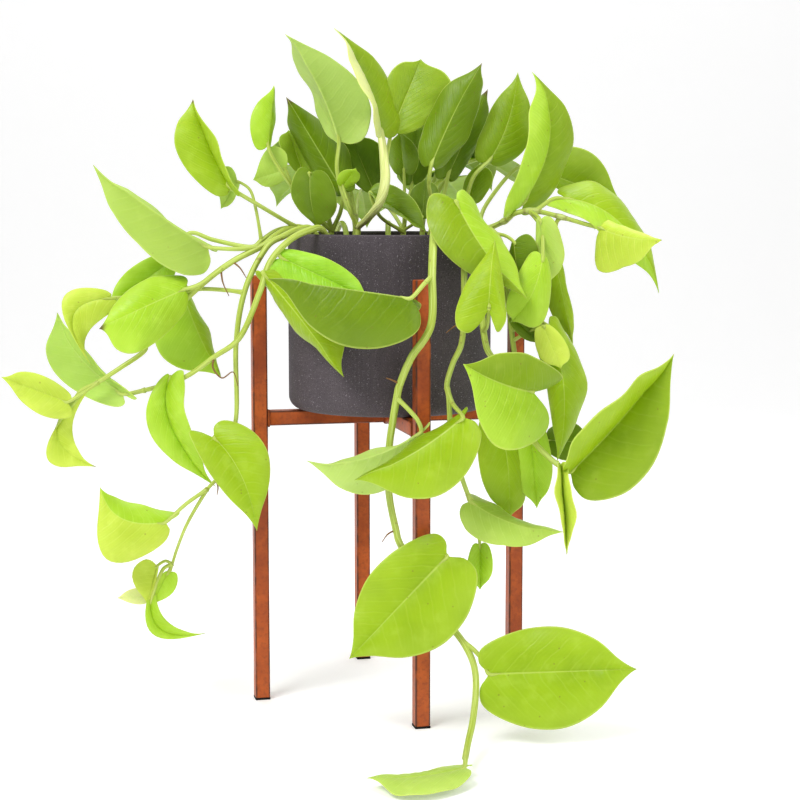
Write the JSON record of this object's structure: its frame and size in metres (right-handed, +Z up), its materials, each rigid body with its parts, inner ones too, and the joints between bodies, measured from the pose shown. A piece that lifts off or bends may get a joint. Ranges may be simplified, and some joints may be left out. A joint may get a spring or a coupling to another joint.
{
  "type": "potted trailing plant on a stand",
  "caption": "Trailing lime-leaved pothos in a matte charcoal pot, resting on the crossed bars of a low square-tube metal stand.",
  "frame": {"origin": "centre of the bounding box on the floor that the stand's feet rest on", "axes": "+X to the plant's right as seen from its front, +Y away from the front, +Z up"},
  "size_m": [0.6426, 0.5808, 0.6802],
  "materials": {
    "stand_steel": "rust-brown paint, worn darker along the edges",
    "foot_rubber": "matte black",
    "pot_shell": "matte charcoal with fine pale speckles",
    "soil": "dark crumbly potting soil",
    "pothos_leaf": "soft waxy lime green leaf with pale rims and veins"
  },
  "bodies": {
    "root": {"leg_right": "stand_steel", "foot_right": "foot_rubber", "leg_back": "stand_steel", "foot_back": "foot_rubber", "leg_left": "stand_steel", "foot_left": "foot_rubber", "leg_front": "stand_steel", "foot_front": "foot_rubber", "crossbar_back": "stand_steel", "crossbar_front": "stand_steel", "crossbar_main": "stand_steel", "pot": "pot_shell", "soil": "soil", "spray_crown_tall": "pothos_leaf", "spray_crown_left": "pothos_leaf", "spray_crown_middle": "pothos_leaf", "spray_crown_right": "pothos_leaf", "spray_crown_far_right": "pothos_leaf", "spray_vine_right": "pothos_leaf", "spray_vine_third": "pothos_leaf", "spray_vine_fourth": "pothos_leaf", "spray_vine_second": "pothos_leaf", "spray_vine_front": "pothos_leaf", "spray_vine_left_upper": "pothos_leaf", "spray_vine_left_long": "pothos_leaf", "spray_vine_left_front": "pothos_leaf", "spray_vine_left_high": "pothos_leaf", "spray_rear_tuft_left": "pothos_leaf", "spray_rear_tuft_right": "pothos_leaf", "spray_rear_vine_left": "pothos_leaf", "spray_rear_vine_middle": "pothos_leaf", "spray_rear_vine_right": "pothos_leaf"}
  },
  "joints": []
}
